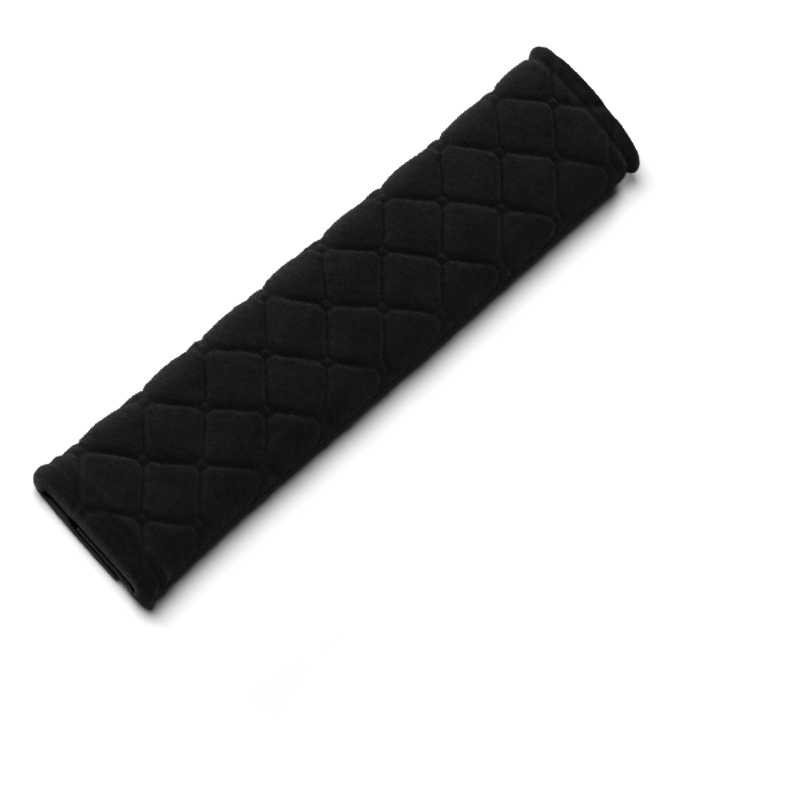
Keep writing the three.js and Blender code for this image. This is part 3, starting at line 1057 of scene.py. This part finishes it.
def plush_material():
    material, tree, shader = new_material("plush")
    objects = add_node(tree, "ShaderNodeTexCoord").outputs["Object"]
    nap = noise_node(tree, objects, NAP_SCALE, 4.0, 0.62)
    pile = noise_node(tree, objects, PILE_SCALE, 2.0, 0.7)
    tufts = noise_node(tree, objects, TUFT_SCALE, 3.0, 0.65)
    along, arc = flat_cloth_nodes(tree)
    knit = knit_pattern(tree, along, arc, KNIT_PITCH)
    shade = math_node(tree, "MULTIPLY_ADD", tufts, 0.45, math_node(tree, "MULTIPLY", nap, 0.55))
    colour = ramp_node(tree, shade, (0.3, PLUSH_DARK), (0.5, PLUSH_MIDDLE), (0.72, PLUSH_LIGHT))
    # Painted shade: the plush's colour is darkened near the stitching of the quilting and of the far
    # hem
    share = math_node(tree, "DIVIDE", stitching_distance(tree, along, arc), GROOVE_WIDTH)
    squared = math_node(tree, "MULTIPLY", share, share)
    groove = math_node(tree, "EXPONENT", math_node(tree, "MULTIPLY", squared, -1.0))
    lit = math_node(tree, "MULTIPLY_ADD", groove, -GROOVE_SHADE, 1.0)
    shaded = add_node(tree, "ShaderNodeVectorMath", operation="SCALE")
    tree.links.new(colour, shaded.inputs["Vector"])
    tree.links.new(lit, shaded.inputs["Scale"])
    tree.links.new(shaded.outputs["Vector"], shader.inputs["Base Color"])
    normal = bump_node(tree, pile, 0.55, 0.0004)
    normal = bump_node(tree, tufts, 0.5, 0.0007, normal)
    normal = bump_node(tree, knit, 0.35, 0.0004, normal)
    tree.links.new(normal, shader.inputs["Normal"])
    shader.inputs["Roughness"].default_value = 0.9
    shader.inputs["Specular IOR Level"].default_value = 0.02
    shader.inputs["Sheen Weight"].default_value = 0.06
    shader.inputs["Sheen Roughness"].default_value = 0.5
    shader.inputs["Sheen Tint"].default_value = (1.0, 1.0, 1.0, 1)
    return material


def pile_material():
    material, tree, shader = new_material("pile")
    objects = add_node(tree, "ShaderNodeTexCoord").outputs["Object"]
    nap = noise_node(tree, objects, NAP_SCALE, 4.0, 0.62)
    fibres = noise_node(tree, objects, FIBRE_SCALE, 1.0)
    shade = math_node(tree, "MULTIPLY_ADD", fibres, 0.5, math_node(tree, "MULTIPLY", nap, 0.5))
    colour = ramp_node(tree, shade, (0.3, PLUSH_MIDDLE), (0.5, PLUSH_LIGHT), (0.72, PILE_TIPS))
    tree.links.new(colour, shader.inputs["Base Color"])
    tree.links.new(bump_node(tree, fibres, 0.5, 0.0001), shader.inputs["Normal"])
    shader.inputs["Roughness"].default_value = 0.95
    shader.inputs["Specular IOR Level"].default_value = 0.02
    return material


def lining_material():
    material, tree, shader = new_material("lining")
    objects = add_node(tree, "ShaderNodeTexCoord").outputs["Object"]
    along, arc = flat_cloth_nodes(tree)
    weave = knit_pattern(tree, along, arc, WEAVE_PITCH)
    speckle = noise_node(tree, objects, SPECKLE_SCALE)
    colour = ramp_node(tree, speckle, (0.3, LINING_DARK), (0.7, LINING_LIGHT))
    tree.links.new(colour, shader.inputs["Base Color"])
    tree.links.new(bump_node(tree, weave, 0.5, 0.0003), shader.inputs["Normal"])
    shader.inputs["Roughness"].default_value = 0.8
    shader.inputs["Specular IOR Level"].default_value = 0.3
    shader.inputs["Sheen Weight"].default_value = 0.1
    return material


def thread_material():
    material, tree, shader = new_material("thread")
    objects = add_node(tree, "ShaderNodeTexCoord").outputs["Object"]
    twist = noise_node(tree, objects, TWIST_SCALE, 1.0)
    colour = ramp_node(tree, twist, (0.3, THREAD_DARK), (0.7, THREAD_LIGHT))
    tree.links.new(colour, shader.inputs["Base Color"])
    tree.links.new(bump_node(tree, twist, 0.5, 0.0001), shader.inputs["Normal"])
    shader.inputs["Roughness"].default_value = 0.7
    shader.inputs["Specular IOR Level"].default_value = 0.05
    return material


def tape_material(name, scale, roughness):
    material, tree, shader = new_material(name)
    objects = add_node(tree, "ShaderNodeTexCoord").outputs["Object"]
    tufts = add_node(tree, "ShaderNodeTexVoronoi", (("Scale", scale),))
    tree.links.new(objects, tufts.inputs["Vector"])
    distance = tufts.outputs["Distance"]
    colour = ramp_node(tree, distance, (0.1, TAPE_TIPS), (0.8, TAPE_GROUND))
    tree.links.new(colour, shader.inputs["Base Color"])
    tree.links.new(bump_node(tree, distance, 0.8, 0.0005), shader.inputs["Normal"])
    shader.inputs["Roughness"].default_value = roughness
    return material


def dress_node(name, material):
    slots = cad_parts[name].data.materials
    slots.clear()
    slots.append(material)


plush = plush_material()
lining = lining_material()
thread = thread_material()
pile = pile_material()

pad = build_pad(plush, lining)
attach(pad, "root")
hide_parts("quilted_panel")

crown_tufts = tufts_between(0, CROWN_PILE_END, CROWN_TUFTS, seed=31)
side_tufts = tufts_between(CROWN_PILE_END, SIDE_PILE_END, SIDE_TUFTS, seed=32)
under_tufts = tufts_between(SIDE_PILE_END, section.high, UNDER_TUFTS, seed=33)
mouth_tufts = tufts_in_mouths(MOUTH_TUFTS, seed=34)

for piece in (
    build_thread("quilting_thread", quilting_stitches(), thread),
    build_thread("hem_thread", hem_stitches(), thread),
    build_thread("tape_thread", tape_stitches(), thread),
    build_pile("crown_pile", crown_tufts, plush_points, pile),
    build_pile("side_pile", side_tufts, plush_points, pile),
    build_pile("under_pile", under_tufts, plush_points, pile),
    build_pile("mouth_pile", mouth_tufts, lining_points, pile),
):
    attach(piece, "root")

dress_node("hook_tape", tape_material("hook_tape", HOOK_SCALE, roughness=0.55))
dress_node("loop_tape", tape_material("loop_tape", LOOP_SCALE, roughness=0.9))


# Floor, light and camera, with sizes in metres
FLOOR_SIZE = 6.0
FLOOR_COLOUR = (0.85, 0.85, 0.85, 1)

# Each light's name, the direction it comes from, its size and its power
LIGHTS = (
    ("key", (-0.12, 0.49, 1.0), 1.95, 112.0),
    ("raking", (1.0, 0.4, 0.55), 0.8, 38.0),
    ("side", (-0.1, 1.0, 0.16), 0.7, 124.0),
)
LIGHT_DISTANCE = 3.0
WORLD_STRENGTH = 0.018

CAMERA_AIM = Vector((-5.7, -39.9, 7.3)) * MM
CAMERA_DISTANCE = 2112.0 * MM
CAMERA_ELEVATION = math.radians(64.9)
CAMERA_SIDESTEP = math.radians(2.7)
CAMERA_ROLL = math.radians(45.7)
FRAME_PIXELS = 800
FOCAL_PIXELS = 5076.0
CLIP_END = 20.0


def build_floor():
    bpy.ops.mesh.primitive_plane_add(size=FLOOR_SIZE)
    floor = bpy.context.object
    floor.name = "floor"
    material, _, shader = new_material("floor")
    shader.inputs["Base Color"].default_value = FLOOR_COLOUR
    shader.inputs["Roughness"].default_value = 0.9
    floor.data.materials.append(material)


def add_area_light(name, direction, size, power):
    data = bpy.data.lights.new(name, "AREA")
    data.shape = "DISK"
    data.size = size
    data.energy = power
    light = bpy.data.objects.new(name, data)
    bpy.context.scene.collection.objects.link(light)
    towards = Vector(direction).normalized()
    light.location = towards * LIGHT_DISTANCE
    light.rotation_euler = towards.to_track_quat("Z", "Y").to_euler()


def build_light():
    for light in LIGHTS:
        add_area_light(*light)
    world = bpy.data.worlds.new("studio")
    bpy.context.scene.world = world
    world.use_nodes = True
    background = world.node_tree.nodes["Background"]
    background.inputs["Color"].default_value = (1, 1, 1, 1)
    background.inputs["Strength"].default_value = WORLD_STRENGTH


def build_camera():
    cos_e, sin_e = math.cos(CAMERA_ELEVATION), math.sin(CAMERA_ELEVATION)
    cos_s, sin_s = math.cos(CAMERA_SIDESTEP), math.sin(CAMERA_SIDESTEP)
    forward = Vector((cos_e * cos_s, cos_e * sin_s, -sin_e))
    right = Vector((sin_s, -cos_s, 0))
    up = right.cross(forward)
    camera_x = math.cos(CAMERA_ROLL) * right + math.sin(CAMERA_ROLL) * up
    camera_y = -math.sin(CAMERA_ROLL) * right + math.cos(CAMERA_ROLL) * up
    turn = Matrix((camera_x, camera_y, -forward)).transposed()
    data = bpy.data.cameras.new("camera")
    data.lens = data.sensor_width * FOCAL_PIXELS / FRAME_PIXELS
    data.clip_end = CLIP_END
    camera = bpy.data.objects.new("camera", data)
    bpy.context.scene.collection.objects.link(camera)
    camera.matrix_world = Matrix.Translation(CAMERA_AIM - CAMERA_DISTANCE * forward) @ turn.to_4x4()
    bpy.context.scene.camera = camera


build_floor()
build_light()
build_camera()
bpy.context.scene.view_settings.view_transform = "Standard"

bpy.context.view_layer.update()
